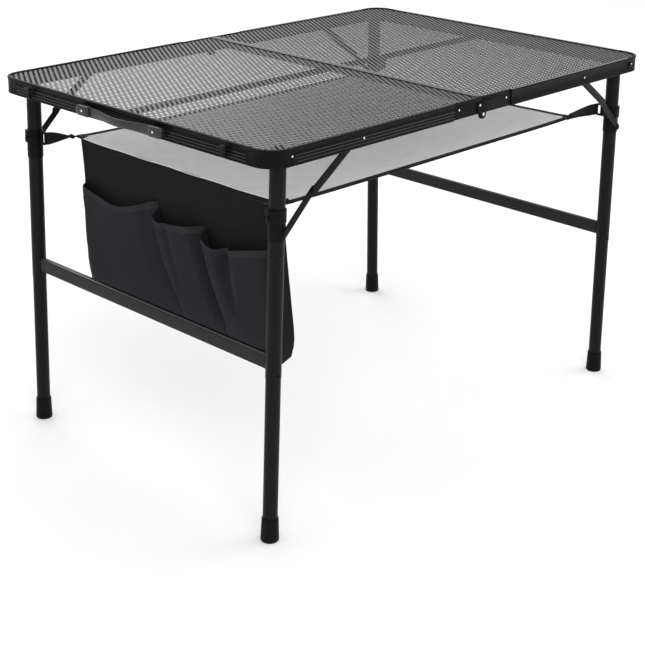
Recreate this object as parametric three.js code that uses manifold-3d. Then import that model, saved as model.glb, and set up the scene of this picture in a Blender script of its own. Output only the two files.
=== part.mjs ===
// A folding camping side table: two mesh-topped halves hinged at the seam, two folding leg frames
// with pull-out lower legs, a fabric shelf slung between the legs and a hanging pocket organiser.
// Millimetres. +X runs along the table, +Y across it, +Z up. The origin is on the floor, at the
// middle of the table. Half "a" (with the handle) is on the -X side and half "b" on the +X side.

import * as THREE from "three";
import { mergeVertices } from "three/addons/utils/BufferGeometryUtils.js";
import Module from "manifold-3d";

const wasm = await Module();
wasm.setup();

// ---------------------------------------------------------------- driving dimensions
const LENGTH = 870;
const WIDTH = 600;
const TOP = 580;
const GAP = 0.3;

const RAIL = { height: 25, flange: 5.2, flangeThick: 1.3, wall: 2, lip: 8, lipThick: 1.4, footEdge: 1 };
const LEDGE = { reach: 9, depth: 3, thick: 1.2 };
const TOP_EDGE = { inward: 2.2, down: 2.2, bevel: 0.7 };
const RIB = { first: 11.2, pitch: 4.4, count: 3, halfWidth: 1.3, depth: 1 };
const CORNER = { radius: 34, reach: 46 };
const SEAM_GAP = 0.9;
const HINGE = { reach: 68, face: 2.4, pinDepth: 26, ear: 7.5, webHigh: 8, stud: 2.2, studShort: 0.1 };
const RELIEF = { slack: 0.5, over: 0.1 };
const COVER = { over: 14, reach: 26, top: 6, step: 18, bottom: 21, thick: 1.6, trim: 0.4, slack: 0.15 };
const COVER_RIB = { from: 9, top: 9, bottom: 16, half: 1, short: 2 };
const SEAM_RAIL = { width: 5.6, height: 13, wall: 1.4, lip: 4, lipThick: 1.2, edge: 0.8, ledgeReach: 8 };
const PANEL = { depth: 1.6, thick: 1.1, inset: 5.5 };
const CENTRE_BAR = { width: 18, height: 3.8, depth: 3, edge: 1.2 };

const LEG = { x: 393, y: 270, pivotDepth: 13.9, splay: 1.5, upperRadius: 10.9, wall: 0.6, socketEnd: 316 };
const LEG_TOP = { roof: 4, steps: 5 };
const LOWER = { radius: 10, wall: 1, insert: 55, plug: 4 };
const FOOT = { radius: 13.2, topRadius: 12, height: 36, floor: 5, edge: 1, edgeHigh: 2, band: 6, spare: 2 };
const CROSSBAR = { along: 295, height: 22, thick: 10, edge: 3.5 };
const COLLAR = { top: 76, ringHeight: 16, ringRadius: 13, sleeveEnd: 118, sleeveRadius: 12.2, edge: 1 };
const LOOP = { root: 11.4, reach: 26, height: 15, thick: 3.2, slot: 3.4, slotHigh: 9, corner: 3, rim: 3 };
const PIVOT_BLOCK = { width: 22, height: 14, edge: 4, shift: 4, boss: 6.5 };

const BRACE = { railX: 261, railDepth: 12.6, legAlong: 108, railLink: 99.1, legLink: 74.9 };
const BRACE_BAR = { width: 12, legWidth: 10, thick: 1.8, legFace: 283.3, railFace: 286.7 };
const BRACE_PIN = { radius: 3.2, spacer: 4, root: 0.5 };

const LATCH = { y: 216, width: 9, thick: 2.4, pivotDepth: 19, pivotOut: 4.2, reach: 14, barrel: 2.6 };
const LATCH_NOSE = { out: 4, high: 2 };
const KEEPER = { width: 12, depth: 17, out: 10.4, above: 6, below: 7, tip: 3, step: 3, stepHigh: 1.5 };
const HANDLE = { y: 81, long: 28, high: 15.6, out: 9, wall: 2.1, back: 0.8, end: 3, drop: 14.6 };
const STRAP = { halfLong: 91, thick: 3, high: 12, bow: 6, standOff: 1.4, flat: 63 };

const SHELF = { halfX: 340, halfY: 228, drop: 105, thick: 3, sag: 5 };
const BAG = { x: 352, thick: 24 };
// The organiser's outline as [y, depth below the table's top surface]. It hangs a little askew.
const BAG_OUTLINE = [
  [-222, 109],
  [-235, 172],
  [-256, 270],
  [-259, 298],
  [-246, 316],
  [-73, 328],
  [41, 335],
  [150, 341],
  [178, 336],
  [192, 317],
  [203, 217],
  [218, 109],
];

// ---------------------------------------------------------------- materials
const paint = (color, roughness, metalness) => ({ color, roughness, metalness });
const FINISH = {
  frame: paint(0x1b1c1f, 0.42, 0.6),
  mesh: paint(0x232427, 0.5, 0.6),
  tube: paint(0x2a2b2e, 0.38, 0.7),
  plastic: paint(0x1a1a1c, 0.55, 0),
  steel: paint(0x3a3b3e, 0.35, 0.9),
  handle: paint(0x2c2d30, 0.5, 0),
  shelf: paint(0xb2b3b6, 0.9, 0),
  bag: paint(0x25262b, 0.92, 0),
};

// ---------------------------------------------------------------- helpers
const table = new THREE.Group();

function addMesh(parent, name, geometry, finish) {
  const mesh = new THREE.Mesh(geometry, new THREE.MeshStandardMaterial(finish));
  mesh.name = name;
  parent.add(mesh);
  return mesh;
}

function toSolid(geometry) {
  const bare = geometry.clone();
  bare.deleteAttribute("normal");
  bare.deleteAttribute("uv");
  const merged = mergeVertices(bare, 1e-4);
  return new wasm.Manifold(
    new wasm.Mesh({
      numProp: 3,
      vertProperties: new Float32Array(merged.attributes.position.array),
      triVerts: new Uint32Array(merged.index.array),
    }),
  );
}

function toGeometry(solid) {
  const mesh = solid.getMesh();
  const geometry = new THREE.BufferGeometry();
  geometry.setAttribute("position", new THREE.BufferAttribute(mesh.vertProperties, 3));
  geometry.setIndex(new THREE.BufferAttribute(mesh.triVerts, 1));
  return geometry;
}

function join(...geometries) {
  return toGeometry(geometries.map(toSolid).reduce((sum, next) => sum.add(next)));
}

function cut(geometry, ...cutters) {
  return toGeometry(cutters.map(toSolid).reduce((rest, next) => rest.subtract(next), toSolid(geometry)));
}

function box(low, high) {
  const size = high.map((value, i) => value - low[i]);
  const centre = high.map((value, i) => (value + low[i]) / 2);
  return new THREE.BoxGeometry(...size).translate(...centre);
}

// A cylinder along Y from y0 to y1 about (x, z).
function pinY(x, z, radius, y0, y1, sides = 16) {
  const geometry = new THREE.CylinderGeometry(radius, radius, Math.abs(y1 - y0), sides);
  return geometry.translate(x, (y0 + y1) / 2, z);
}

function outline(points) {
  return new THREE.Shape(points.map(([x, y]) => new THREE.Vector2(x, y)));
}

// Sweeps a section along a level path. The section's first coordinate is the depth below the top
// surface and its second is the distance to the left of the way the path runs.
function sweepLevel(section, path, steps) {
  return new THREE.ExtrudeGeometry(outline(section), { steps, bevelEnabled: false, extrudePath: path });
}

function line(from, to) {
  return new THREE.LineCurve3(new THREE.Vector3(...from), new THREE.Vector3(...to));
}

// Extrudes an outline drawn in X and Z through the thickness y0 to y1.
function plateXZ(shape, y0, y1, curveSegments = 8) {
  const depth = Math.abs(y1 - y0);
  const geometry = new THREE.ExtrudeGeometry(shape, { depth, bevelEnabled: false, curveSegments });
  return geometry.rotateX(Math.PI / 2).translate(0, Math.max(y0, y1), 0);
}

function lathe(profile, segments) {
  return new THREE.LatheGeometry(profile.map(([r, z]) => new THREE.Vector2(r, z)), segments)
    .rotateX(Math.PI / 2);
}

function roundedRect(width, height, radius) {
  const w = width / 2 - radius;
  const h = height / 2 - radius;
  const shape = new THREE.Shape();
  shape.absarc(w, h, radius, 0, Math.PI / 2);
  shape.absarc(-w, h, radius, Math.PI / 2, Math.PI);
  shape.absarc(-w, -h, radius, Math.PI, 1.5 * Math.PI);
  shape.absarc(w, -h, radius, 1.5 * Math.PI, 2 * Math.PI);
  return shape;
}

// ---------------------------------------------------------------- frame sections
// Each section lists [depth, inward], with the outer face at inward = 0.
function channelSection(outerFace, face = 0) {
  const { height, flange, flangeThick, wall, lip, lipThick, footEdge } = RAIL;
  const ledgeUnder = LEDGE.depth + LEDGE.thick;
  return [
    [0, flange],
    [0, face + TOP_EDGE.inward],
    [TOP_EDGE.bevel, face + TOP_EDGE.bevel],
    [TOP_EDGE.down, face],
    ...outerFace,
    [height - footEdge, face],
    [height, face + footEdge],
    [height, lip],
    [height - lipThick, lip],
    [height - lipThick, face + wall],
    [ledgeUnder, face + wall],
    [ledgeUnder, LEDGE.reach],
    [LEDGE.depth, LEDGE.reach],
    [LEDGE.depth, face + wall],
    [flangeThick, face + wall],
    [flangeThick, flange],
  ];
}

function ribbedFace() {
  const points = [];
  for (let i = 0; i <= RIB.count; i += 1) {
    const groove = RIB.first + (i - 0.5) * RIB.pitch;
    points.push([groove - RIB.halfWidth, 0]);
    points.push([groove, RIB.depth]);
    points.push([groove + RIB.halfWidth, 0]);
  }
  return points;
}

const RIBBED = channelSection(ribbedFace());
const SMOOTH = channelSection([]);
const HINGE_SECTION = channelSection([], HINGE.face);

// ---------------------------------------------------------------- one half of the top
// side is -1 for half a and +1 for half b; edge is -1 for the -Y side and +1 for the +Y side.
const EDGES = [[-1, "front"], [1, "back"]];

function railAlongX(section, x0, x1, edge) {
  const y = (edge * WIDTH) / 2;
  const [from, to] = edge < 0 ? [x0, x1] : [x1, x0];
  return sweepLevel(section, line([from, y, TOP], [to, y, TOP]), 1);
}

function cornerPath(side, edge) {
  const x = (side * LENGTH) / 2;
  const y = (edge * WIDTH) / 2;
  const r = CORNER.radius;
  const arc = [];
  const steps = 8;
  for (let i = 0; i <= steps; i += 1) {
    const angle = (i / steps) * (Math.PI / 2);
    const px = x - side * r * (1 - Math.sin(angle));
    const py = y - edge * r * (1 - Math.cos(angle));
    arc.push([px, py]);
  }
  const points = [[x - side * CORNER.reach, y], ...arc, [x, y - edge * CORNER.reach]];
  return side * edge > 0 ? points.reverse() : points;
}

// A mitred sweep of a section round a level corner, built as a closed ring-by-ring mesh.
function sweepCorner(section, corner) {
  const paths = [];
  for (let i = 0; i < corner.length; i += 1) {
    const before = corner[Math.max(i - 1, 0)];
    const here = corner[i];
    const after = corner[Math.min(i + 1, corner.length - 1)];
    const into = new THREE.Vector2(here[0] - before[0], here[1] - before[1]).normalize();
    const out = new THREE.Vector2(after[0] - here[0], after[1] - here[1]).normalize();
    const first = i === 0 ? out : into;
    const last = i === corner.length - 1 ? into : out;
    const left = new THREE.Vector2(-(first.y + last.y), first.x + last.x).normalize();
    const stretch = 1 / Math.max(0.5, left.dot(new THREE.Vector2(-last.y, last.x)));
    paths.push(section.map(([depth, inward]) => {
      const reach = inward * stretch;
      return [here[0] + left.x * reach, here[1] + left.y * reach, TOP - depth];
    }));
  }
  const count = section.length;
  const positions = paths.flat(2);
  const faces = [];
  for (let ring = 0; ring + 1 < paths.length; ring += 1) {
    for (let i = 0; i < count; i += 1) {
      const a = ring * count + i;
      const b = ring * count + ((i + 1) % count);
      faces.push(a, b, a + count);
      faces.push(b, b + count, a + count);
    }
  }
  const flat = section.map(([depth, inward]) => new THREE.Vector2(depth, inward));
  const caps = THREE.ShapeUtils.triangulateShape(flat, []);
  const end = (paths.length - 1) * count;
  caps.forEach(([a, b, c]) => {
    faces.push(a, c, b);
    faces.push(end + a, end + b, end + c);
  });
  const geometry = new THREE.BufferGeometry();
  geometry.setAttribute("position", new THREE.Float32BufferAttribute(positions, 3));
  geometry.setIndex(faces);
  return outwards(geometry);
}

// Turns every face over when the mesh encloses a negative volume.
function outwards(geometry) {
  const p = geometry.attributes.position;
  const index = geometry.index.array;
  const [a, b, c] = [new THREE.Vector3(), new THREE.Vector3(), new THREE.Vector3()];
  let volume = 0;
  for (let i = 0; i < index.length; i += 3) {
    a.fromBufferAttribute(p, index[i]);
    b.fromBufferAttribute(p, index[i + 1]);
    c.fromBufferAttribute(p, index[i + 2]);
    volume += a.dot(b.cross(c));
  }
  if (volume < 0) {
    for (let i = 0; i < index.length; i += 3) {
      [index[i + 1], index[i + 2]] = [index[i + 2], index[i + 1]];
    }
  }
  return geometry;
}

function seamRail(side) {
  const { width, height, wall, lip, lipThick, edge, ledgeReach } = SEAM_RAIL;
  const ledgeUnder = LEDGE.depth + LEDGE.thick;
  const section = [
    [0, width],
    [0, edge],
    [edge, 0],
    [height, 0],
    [height, lip],
    [height - lipThick, lip],
    [height - lipThick, wall],
    [ledgeUnder, wall],
    [ledgeUnder, ledgeReach],
    [LEDGE.depth, ledgeReach],
    [LEDGE.depth, wall],
    [RAIL.flangeThick, wall],
    [RAIL.flangeThick, width],
  ];
  const x = side * SEAM_GAP;
  const y = WIDTH / 2 - LEDGE.reach - GAP;
  const [from, to] = side < 0 ? [-y, y] : [y, -y];
  return sweepLevel(section, line([x, from, TOP], [x, to, TOP]), 1);
}

function panel(side) {
  const outer = LENGTH / 2 - PANEL.inset;
  const inner = SEAM_GAP + SEAM_RAIL.width + GAP;
  const half = WIDTH / 2 - PANEL.inset;
  const r = CORNER.radius - PANEL.inset;
  const shape = new THREE.Shape();
  shape.moveTo(inner, -half);
  shape.absarc(outer - r, r - half, r, -Math.PI / 2, 0);
  shape.absarc(outer - r, half - r, r, 0, Math.PI / 2);
  shape.lineTo(inner, half);
  const depth = PANEL.thick;
  const geometry = new THREE.ExtrudeGeometry(shape, { depth, bevelEnabled: false, curveSegments: 6 });
  if (side < 0) geometry.rotateZ(Math.PI);
  return geometry.translate(0, 0, TOP - PANEL.depth - PANEL.thick);
}

function centreBar(side) {
  const from = SEAM_GAP + SEAM_RAIL.ledgeReach + GAP;
  const to = LENGTH / 2 - LEDGE.reach - GAP;
  const shape = roundedRect(CENTRE_BAR.height, CENTRE_BAR.width, CENTRE_BAR.edge);
  const path = line([side * from, 0, 0], [side * to, 0, 0]);
  const steps = { steps: 1, bevelEnabled: false, extrudePath: path, curveSegments: 4 };
  const geometry = new THREE.ExtrudeGeometry(shape, steps);
  return geometry.translate(0, 0, TOP - CENTRE_BAR.depth - GAP - CENTRE_BAR.height / 2);
}

// ---------------------------------------------------------------- seam hinges
// Half a's block carries the ear and the stud; half b's block carries the cover plate with the hole.
function hingeBlockA(edge) {
  const face = WIDTH / 2 - HINGE.face;
  const block = railAlongX(HINGE_SECTION, -HINGE.reach, -SEAM_GAP, edge);
  const pinZ = TOP - HINGE.pinDepth;
  const [y0, y1] = [edge * face, edge * (face - RAIL.wall)];
  const ear = pinY(0, pinZ, HINGE.ear, y0, y1, 24);
  const webTop = pinZ + HINGE.webHigh;
  const web = box([-HINGE.ear, Math.min(y0, y1), pinZ], [-SEAM_GAP, Math.max(y0, y1), webTop]);
  const stud = pinY(0, pinZ, HINGE.stud, y1, edge * (WIDTH / 2 - HINGE.studShort));
  return join(block, ear, web, stud);
}

function hingeBlockB(edge) {
  const face = WIDTH / 2 - HINGE.face;
  const pinZ = TOP - HINGE.pinDepth;
  const block = railAlongX(HINGE_SECTION, SEAM_GAP, HINGE.reach, edge);
  const [out, inside] = [edge * (face + RELIEF.over), edge * (face - RAIL.lip)];
  const relief = pinY(0, pinZ, HINGE.ear + RELIEF.slack, out, inside, 24);
  const round = HINGE.ear - COVER.trim;
  const shape = new THREE.Shape();
  shape.moveTo(-COVER.over, TOP - COVER.top);
  shape.lineTo(-COVER.over, TOP - COVER.step);
  shape.absarc(0, pinZ, round, Math.PI, 2 * Math.PI);
  shape.lineTo(round, TOP - COVER.bottom);
  shape.lineTo(COVER.reach, TOP - COVER.bottom);
  shape.lineTo(COVER.reach, TOP - COVER.top);
  shape.holes.push(new THREE.Path().absarc(0, pinZ, HINGE.stud + COVER.slack, 0, 2 * Math.PI, true));
  const plate = plateXZ(shape, edge * (face + GAP), edge * (face + GAP + COVER.thick));
  const ribY = [edge * (face - COVER_RIB.half), edge * (face + COVER_RIB.half)].sort((p, q) => p - q);
  const rib = box(
    [SEAM_GAP + COVER_RIB.from, ribY[0], TOP - COVER_RIB.bottom],
    [COVER.reach - COVER_RIB.short, ribY[1], TOP - COVER_RIB.top],
  );
  return join(cut(block, relief), rib, plate);
}

// ---------------------------------------------------------------- leg frames
// A leg frame is drawn upright with its pivot at the origin, then leant out by the splay angle.
function legFrameGroup(side) {
  const group = new THREE.Group();
  group.position.set(side * LEG.x, 0, TOP - LEG.pivotDepth);
  group.rotation.y = -side * THREE.MathUtils.degToRad(LEG.splay);
  return group;
}

function upperTube() {
  const { upperRadius: r, wall, socketEnd } = LEG;
  const dome = [];
  for (let i = 0; i <= LEG_TOP.steps; i += 1) {
    const angle = (i / LEG_TOP.steps) * (Math.PI / 2);
    dome.push([r * Math.cos(angle), r * Math.sin(angle)]);
  }
  const profile = [
    [0, -LEG_TOP.roof],
    [r - wall, -LEG_TOP.roof],
    [r - wall, -socketEnd],
    [r, -socketEnd],
    ...dome,
  ];
  return lathe(profile, 20);
}

function lowerTube(length) {
  const { radius: r, wall, insert, plug } = LOWER;
  const top = insert - LEG.socketEnd;
  const bottom = top - length;
  const profile = [
    [0, bottom],
    [r, bottom],
    [r, top],
    [r - wall, top],
    [r - wall, bottom + plug],
    [0, bottom + plug],
  ];
  return lathe(profile, 20);
}

// The foot's level bottom is cut by the floor, which leans against the leg by the splay angle.
function foot(side, axisLength) {
  const { radius, topRadius, height, floor, edge, edgeHigh, band, spare } = FOOT;
  const bore = LOWER.radius + GAP;
  const profile = [
    [0, -spare],
    [radius - edge, -spare],
    [radius, edgeHigh],
    [radius, band],
    [topRadius, height],
    [bore, height],
    [bore, floor],
    [0, floor],
  ];
  const body = lathe(profile, 20).translate(0, 0, -axisLength);
  const wide = 2 * radius;
  const ground = box([-wide, -wide, -wide], [wide, wide, 0]);
  ground.rotateY(side * THREE.MathUtils.degToRad(LEG.splay));
  ground.translate(0, 0, -axisLength);
  return cut(body, ground);
}

function crossbar() {
  const length = 2 * (LEG.y - LEG.upperRadius - GAP);
  const shape = roundedRect(CROSSBAR.thick, CROSSBAR.height, CROSSBAR.edge);
  const geometry = new THREE.ExtrudeGeometry(shape, {
    depth: length,
    bevelEnabled: false,
    curveSegments: 4,
  });
  return geometry.rotateX(Math.PI / 2).translate(0, length / 2, -CROSSBAR.along);
}

// The clamp round the upper tube, with a slotted lug on its inner side for the shelf's strap.
function collar(edge) {
  const { top, ringHeight, ringRadius, sleeveEnd, sleeveRadius, edge: rim } = COLLAR;
  const bore = LEG.upperRadius + GAP;
  const ring = lathe([
    [bore, -top],
    [bore, -sleeveEnd],
    [sleeveRadius, -sleeveEnd],
    [sleeveRadius, -top - ringHeight],
    [ringRadius, -top - ringHeight + rim],
    [ringRadius, -top - rim],
    [ringRadius - rim, -top],
    [bore, -top],
  ], 24);
  const middle = -top - ringHeight / 2;
  const lug = new THREE.Shape();
  const half = LOOP.height / 2;
  lug.moveTo(LOOP.root, -half);
  lug.lineTo(LOOP.reach - LOOP.corner, -half);
  lug.lineTo(LOOP.reach, LOOP.corner - half);
  lug.lineTo(LOOP.reach, half - LOOP.corner);
  lug.lineTo(LOOP.reach - LOOP.corner, half);
  lug.lineTo(LOOP.root, half);
  const slotEnd = LOOP.reach - LOOP.rim;
  const slotHalf = LOOP.slotHigh / 2;
  const slot = new THREE.Path();
  slot.moveTo(slotEnd, -slotHalf);
  slot.lineTo(slotEnd - LOOP.slot, -slotHalf);
  slot.lineTo(slotEnd - LOOP.slot, slotHalf);
  slot.lineTo(slotEnd, slotHalf);
  lug.holes.push(slot);
  const tab = plateXZ(lug, -LOOP.thick / 2, LOOP.thick / 2);
  tab.rotateZ((-edge * Math.PI) / 2).translate(0, 0, middle);
  return join(ring, tab).translate(0, edge * LEG.y, 0);
}

// ---------------------------------------------------------------- folding braces
// Each brace is two links. The rail link turns on the side rail, the leg link on the leg, and they
// meet at the knuckle, which the two link lengths place above the straight line between them.
function bracePoints() {
  const splay = THREE.MathUtils.degToRad(LEG.splay);
  const railPivot = new THREE.Vector2(BRACE.railX, TOP - BRACE.railDepth);
  const legPivot = new THREE.Vector2(
    LEG.x + BRACE.legAlong * Math.sin(splay),
    TOP - LEG.pivotDepth - BRACE.legAlong * Math.cos(splay),
  );
  const span = railPivot.distanceTo(legPivot);
  const { railLink, legLink } = BRACE;
  const along = (railLink ** 2 - legLink ** 2 + span ** 2) / (2 * span);
  const aside = Math.sqrt(Math.max(railLink ** 2 - along ** 2, 0));
  const way = legPivot.clone().sub(railPivot).normalize();
  const knuckle = railPivot.clone().addScaledVector(way, along);
  knuckle.add(new THREE.Vector2(-way.y, way.x).multiplyScalar(aside));
  return { railPivot, legPivot, knuckle };
}

function bar(from, to, width, y0, y1) {
  const way = to.clone().sub(from);
  const shape = new THREE.Shape();
  const angle = Math.atan2(way.y, way.x);
  shape.absarc(to.x, to.y, width / 2, angle - Math.PI / 2, angle + Math.PI / 2);
  shape.absarc(from.x, from.y, width / 2, angle + Math.PI / 2, angle + 1.5 * Math.PI);
  return plateXZ(shape, y0, y1);
}

function mirrorX(side, geometry) {
  if (side > 0) return geometry;
  geometry.scale(-1, 1, 1);
  const index = geometry.index ?? null;
  if (index) {
    for (let i = 0; i < index.array.length; i += 3) {
      [index.array[i + 1], index.array[i + 2]] = [index.array[i + 2], index.array[i + 1]];
    }
    return geometry;
  }
  return outwards(mergeVertices(bareCopy(geometry), 1e-4));
}

function bareCopy(geometry) {
  const bare = geometry.clone();
  bare.deleteAttribute("normal");
  bare.deleteAttribute("uv");
  return bare;
}

function railLink(side, edge) {
  const { railPivot, knuckle } = bracePoints();
  const face = BRACE_BAR.railFace;
  const [y0, y1] = [edge * face, edge * (face + BRACE_BAR.thick)];
  const link = bar(railPivot, knuckle, BRACE_BAR.width, y0, y1);
  const wallInside = WIDTH / 2 - RAIL.wall - GAP;
  const { radius, root } = BRACE_PIN;
  const stud = pinY(railPivot.x, railPivot.y, radius, y0 + edge * root, edge * wallInside);
  return mirrorX(side, join(link, stud));
}

function legLink(side, edge) {
  const { legPivot, knuckle } = bracePoints();
  const face = BRACE_BAR.legFace;
  const [y0, y1] = [edge * face, edge * (face + BRACE_BAR.thick)];
  const link = bar(legPivot, knuckle, BRACE_BAR.legWidth, y0, y1);
  const spacerEnd = edge * (BRACE_BAR.railFace - GAP);
  const spacer = pinY(knuckle.x, knuckle.y, BRACE_PIN.spacer, y0 + edge * BRACE_PIN.root, spacerEnd);
  const sleeveSide = edge * (LEG.y + COLLAR.sleeveRadius + GAP);
  const stud = pinY(legPivot.x, legPivot.y, BRACE_PIN.radius, sleeveSide, spacerEnd);
  return mirrorX(side, join(link, spacer, stud));
}

// ---------------------------------------------------------------- leg pivots, latches, handle
function pivotBlock(side, edge) {
  const near = edge * (LEG.y + LEG.upperRadius + GAP);
  const far = edge * (WIDTH / 2 - RAIL.wall - GAP);
  const z = TOP - LEG.pivotDepth;
  const inner = edge * (WIDTH / 2 - LEDGE.reach - GAP - PIVOT_BLOCK.shift);
  const shape = roundedRect(PIVOT_BLOCK.width, PIVOT_BLOCK.height, PIVOT_BLOCK.edge);
  const body = plateXZ(shape, inner, far).translate(side * LEG.x, 0, z);
  const boss = pinY(side * LEG.x, z, PIVOT_BLOCK.boss, near, far);
  return join(body, boss);
}

function latchHook(edge) {
  const z = TOP - LATCH.pivotDepth;
  const x = -LENGTH / 2 - LATCH.pivotOut;
  const y0 = edge * LATCH.y - LATCH.width / 2;
  const y1 = y0 + LATCH.width;
  const top = z + LATCH.reach;
  const plate = box([x - LATCH.thick / 2, y0, z], [x + LATCH.thick / 2, y1, top]);
  const barrel = pinY(x, z, LATCH.barrel, y0, y1, 12);
  const nose = box([x - LATCH_NOSE.out, y0, top - LATCH_NOSE.high], [x + LATCH.thick / 2, y1, top]);
  return join(plate, barrel, nose);
}

function latchKeeper(edge) {
  const x = LENGTH / 2 + GAP;
  const y0 = edge * LATCH.y - KEEPER.width / 2;
  const shape = outline([
    [x, -KEEPER.below],
    [x + KEEPER.out, -KEEPER.tip],
    [x + KEEPER.out, 0],
    [x + KEEPER.step, KEEPER.stepHigh],
    [x, KEEPER.above],
  ]);
  return plateXZ(shape, y0, y0 + KEEPER.width).translate(0, 0, TOP - KEEPER.depth);
}

function handleBracket(edge) {
  const { y, long, high, out, wall, back, end, drop } = HANDLE;
  const z = TOP - drop;
  const face = -LENGTH / 2 - GAP;
  const y0 = edge * y - long / 2;
  const shell = box([face - out, y0, z - high / 2], [face, y0 + long, z + high / 2]);
  const [from, to] = [edge * (y - long), edge * (y + long / 2 - end)].sort((p, q) => p - q);
  const half = STRAP.high / 2 + GAP;
  const hollow = box([face - out + wall, from, z - half], [face - back, to, z + half]);
  return cut(shell, hollow);
}

// The strap bows away from the rail. Its ends lie inside the two brackets.
function handleStrap() {
  const { halfLong, thick, high, bow, standOff, flat } = STRAP;
  const face = -LENGTH / 2 - GAP;
  const steps = 12;
  const outer = [];
  for (let i = -steps; i <= steps; i += 1) {
    const t = i / steps;
    outer.push([standOff + bow * Math.cos((t * Math.PI) / 2) ** 2, t * flat]);
  }
  const centre = [[standOff, -halfLong], ...outer, [standOff, halfLong]];
  const near = centre.map(([out, y]) => [face - out, y]);
  const far = centre.map(([out, y]) => [face - out - thick, y]).reverse();
  const shape = outline([...near, ...far]);
  const geometry = new THREE.ExtrudeGeometry(shape, { depth: high, bevelEnabled: false });
  return geometry.translate(0, 0, TOP - HANDLE.drop - high / 2);
}

// ---------------------------------------------------------------- soft goods
// The shelf is a sheet slung by its corners, so it hangs lowest at the middle.
function shelf() {
  const { halfX, halfY, drop, thick, sag } = SHELF;
  const steps = 8;
  const upper = [];
  for (let i = -steps; i <= steps; i += 1) {
    const t = i / steps;
    upper.push([t * halfX, -sag * (1 - t * t)]);
  }
  const lower = upper.map(([x, z]) => [x, z - thick]).reverse();
  return plateXZ(outline([...upper, ...lower]), -halfY, halfY).translate(0, 0, TOP - drop);
}

function organiser() {
  const shape = outline(BAG_OUTLINE.map(([y, depth]) => [y, -depth]));
  const geometry = new THREE.ExtrudeGeometry(shape, { depth: BAG.thick, bevelEnabled: false });
  geometry.rotateX(Math.PI / 2).rotateZ(Math.PI / 2);
  return geometry.translate(-BAG.x - BAG.thick / 2, 0, TOP);
}

// ---------------------------------------------------------------- assembly
function addHalf(side) {
  const half = side < 0 ? "a" : "b";
  const railSection = side < 0 ? RIBBED : SMOOTH;
  const railEnd = LENGTH / 2 - CORNER.reach - GAP;
  const railStart = HINGE.reach + GAP;
  EDGES.forEach(([edge, place]) => {
    const ends = [side * railEnd, side * railStart].sort((p, q) => p - q);
    addMesh(table, `side_rail_${half}_${place}`, railAlongX(railSection, ...ends, edge), FINISH.frame);
    const corner = sweepCorner(SMOOTH, cornerPath(side, edge));
    addMesh(table, `corner_${half}_${place}`, corner, FINISH.plastic);
    const hinge = side < 0 ? hingeBlockA(edge) : hingeBlockB(edge);
    addMesh(table, `hinge_${half}_${place}`, hinge, FINISH.plastic);
    addMesh(table, `leg_pivot_${half}_${place}`, pivotBlock(side, edge), FINISH.plastic);
    addMesh(table, `brace_rail_link_${half}_${place}`, railLink(side, edge), FINISH.steel);
    addMesh(table, `brace_leg_link_${half}_${place}`, legLink(side, edge), FINISH.steel);
  });
  const endY = WIDTH / 2 - CORNER.reach - GAP;
  const [from, to] = side < 0 ? [endY, -endY] : [-endY, endY];
  const x = (side * LENGTH) / 2;
  const endRail = sweepLevel(railSection, line([x, from, TOP], [x, to, TOP]), 1);
  addMesh(table, `end_rail_${half}`, endRail, FINISH.frame);
  addMesh(table, `seam_rail_${half}`, seamRail(side), FINISH.frame);
  addMesh(table, `mesh_panel_${half}`, panel(side), FINISH.mesh);
  addMesh(table, `centre_bar_${half}`, centreBar(side), FINISH.frame);
}

function addLegFrame(side) {
  const half = side < 0 ? "a" : "b";
  const group = legFrameGroup(side);
  const splay = THREE.MathUtils.degToRad(LEG.splay);
  const axisLength = (TOP - LEG.pivotDepth) / Math.cos(splay);
  const tubeLength = axisLength - FOOT.floor - GAP - (LEG.socketEnd - LOWER.insert);
  EDGES.forEach(([edge, place]) => {
    const y = edge * LEG.y;
    addMesh(group, `upper_leg_${half}_${place}`, upperTube(), FINISH.tube).position.y = y;
    addMesh(group, `lower_leg_${half}_${place}`, lowerTube(tubeLength), FINISH.tube).position.y = y;
    addMesh(group, `foot_${half}_${place}`, foot(side, axisLength), FINISH.plastic).position.y = y;
    addMesh(group, `collar_${half}_${place}`, collar(edge), FINISH.plastic);
  });
  addMesh(group, `crossbar_${half}`, crossbar(), FINISH.tube);
  table.add(group);
}

[-1, 1].forEach((side) => {
  addHalf(side);
  addLegFrame(side);
});
EDGES.forEach(([edge, place]) => {
  addMesh(table, `latch_hook_${place}`, latchHook(edge), FINISH.steel);
  addMesh(table, `latch_keeper_${place}`, latchKeeper(edge), FINISH.plastic);
  addMesh(table, `handle_bracket_${place}`, handleBracket(edge), FINISH.plastic);
});
addMesh(table, "handle_strap", handleStrap(), FINISH.handle);
addMesh(table, "shelf_sheet", shelf(), FINISH.shelf);
addMesh(table, "pocket_organiser", organiser(), FINISH.bag);

export default table;
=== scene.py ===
"""A folding camping table: two mesh-topped halves, two folding leg frames, a slung fabric shelf
and a hanging pocket organiser. Metres, +Z up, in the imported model's own frame."""

import math

import bmesh
import bpy
import numpy as np
from mathutils import Matrix, Vector


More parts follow.
